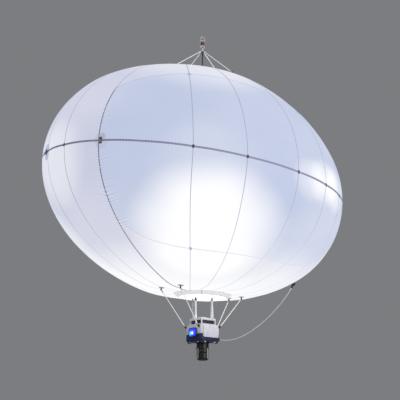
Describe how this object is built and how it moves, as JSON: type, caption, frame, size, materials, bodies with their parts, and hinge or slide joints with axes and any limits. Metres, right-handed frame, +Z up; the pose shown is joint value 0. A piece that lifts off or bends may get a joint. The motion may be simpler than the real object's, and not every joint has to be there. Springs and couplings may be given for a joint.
{
  "type": "balloon light",
  "caption": "Lit ellipsoid fabric balloon hung from a swivel by bridle lines, with a mouth collar, supply box, blower and power cable under it.",
  "frame": {"origin": "where a hook bears on the inside of the shackle bow", "axes": "+Z up along the hang line, -Y towards the side that the picture shows, +X to the right in the picture, where the widest line is lowest"},
  "size_m": [5.088, 5.1067, 5.671],
  "materials": {
    "hanger_steel": "galvanised steel",
    "swivel_red": "red painted steel",
    "crown_grey": "moulded plate",
    "tether_black": "black braided cord",
    "patch_grey": "moulded patch plate",
    "rope_white": "white braided rope",
    "lit_fabric": "white coated fabric, lit from inside",
    "webbing_grey": "grey sewn webbing",
    "guy_steel": "stainless eye plate",
    "collar_cloth": "cream grey sewn sleeve",
    "box_white": "white powder coat",
    "box_navy": "navy powder coat",
    "lamp_blue": "lit blue lens",
    "fitting_black": "black moulded nylon",
    "blower_black": "black satin paint",
    "rotor_grey": "moulded impeller",
    "cable_black": "black rubber sheath",
    "lamp_block": "plain block"
  },
  "bodies": {
    "hanger": {"shackle_bow": "hanger_steel", "shackle_pin": "hanger_steel", "swivel_eye": "hanger_steel"},
    "balloon": {"master_ring": "hanger_steel", "bridle_hub": "hanger_steel", "swivel_housing": "swivel_red", "crown_plate": "crown_grey", "crown_tether": "tether_black", "crown_anchor_1": "patch_grey", "crown_anchor_2": "patch_grey", "crown_anchor_3": "patch_grey", "crown_anchor_4": "patch_grey", "stay_anchor_front_left": "patch_grey", "stay_anchor_back_left": "patch_grey", "stay_anchor_front_right": "patch_grey", "stay_anchor_back_right": "patch_grey", "bridle_1": "rope_white", "bridle_2": "rope_white", "bridle_3": "rope_white", "bridle_4": "rope_white", "stay_front_left": "rope_white", "stay_back_left": "rope_white", "stay_front_right": "rope_white", "stay_back_right": "rope_white", "envelope": "lit_fabric", "mouth_panel": "lit_fabric", "equator_band": "webbing_grey", "guy_plate_1": "guy_steel", "guy_plate_2": "guy_steel", "guy_plate_3": "guy_steel", "guy_plate_4": "guy_steel", "guy_plate_5": "guy_steel", "guy_plate_6": "guy_steel", "mouth_collar": "collar_cloth", "housing": "box_white", "rail_frame": "box_white", "roof_dome": "box_white", "side_cover": "box_white", "post_1": "box_white", "post_2": "box_white", "post_3": "box_white", "post_4": "box_white", "base": "box_navy", "lamp_bezel": "box_navy", "lamp_lens": "lamp_blue", "stay_foot_front_left": "fitting_black", "stay_foot_back_left": "fitting_black", "stay_foot_front_right": "fitting_black", "stay_foot_back_right": "fitting_black", "cable_gland": "fitting_black", "cable_inlet": "fitting_black", "blower_neck": "blower_black", "clamp_ring": "blower_black", "intake_casing": "blower_black", "blower_motor": "blower_black", "supply_cable": "cable_black", "lamp_unit": "lamp_block"},
    "fan": {"fan_rotor": "rotor_grey"}
  },
  "joints": [
    {"name": "swivel", "type": "hinge", "parent": "hanger", "child": "balloon", "pos_m": [0, 0, -0.11], "axis": [0, 0, 1], "continuous": true},
    {"name": "fan", "type": "hinge", "parent": "balloon", "child": "fan", "pos_m": [0, 0, -5.5], "axis": [0, 0, 1], "continuous": true}
  ]
}
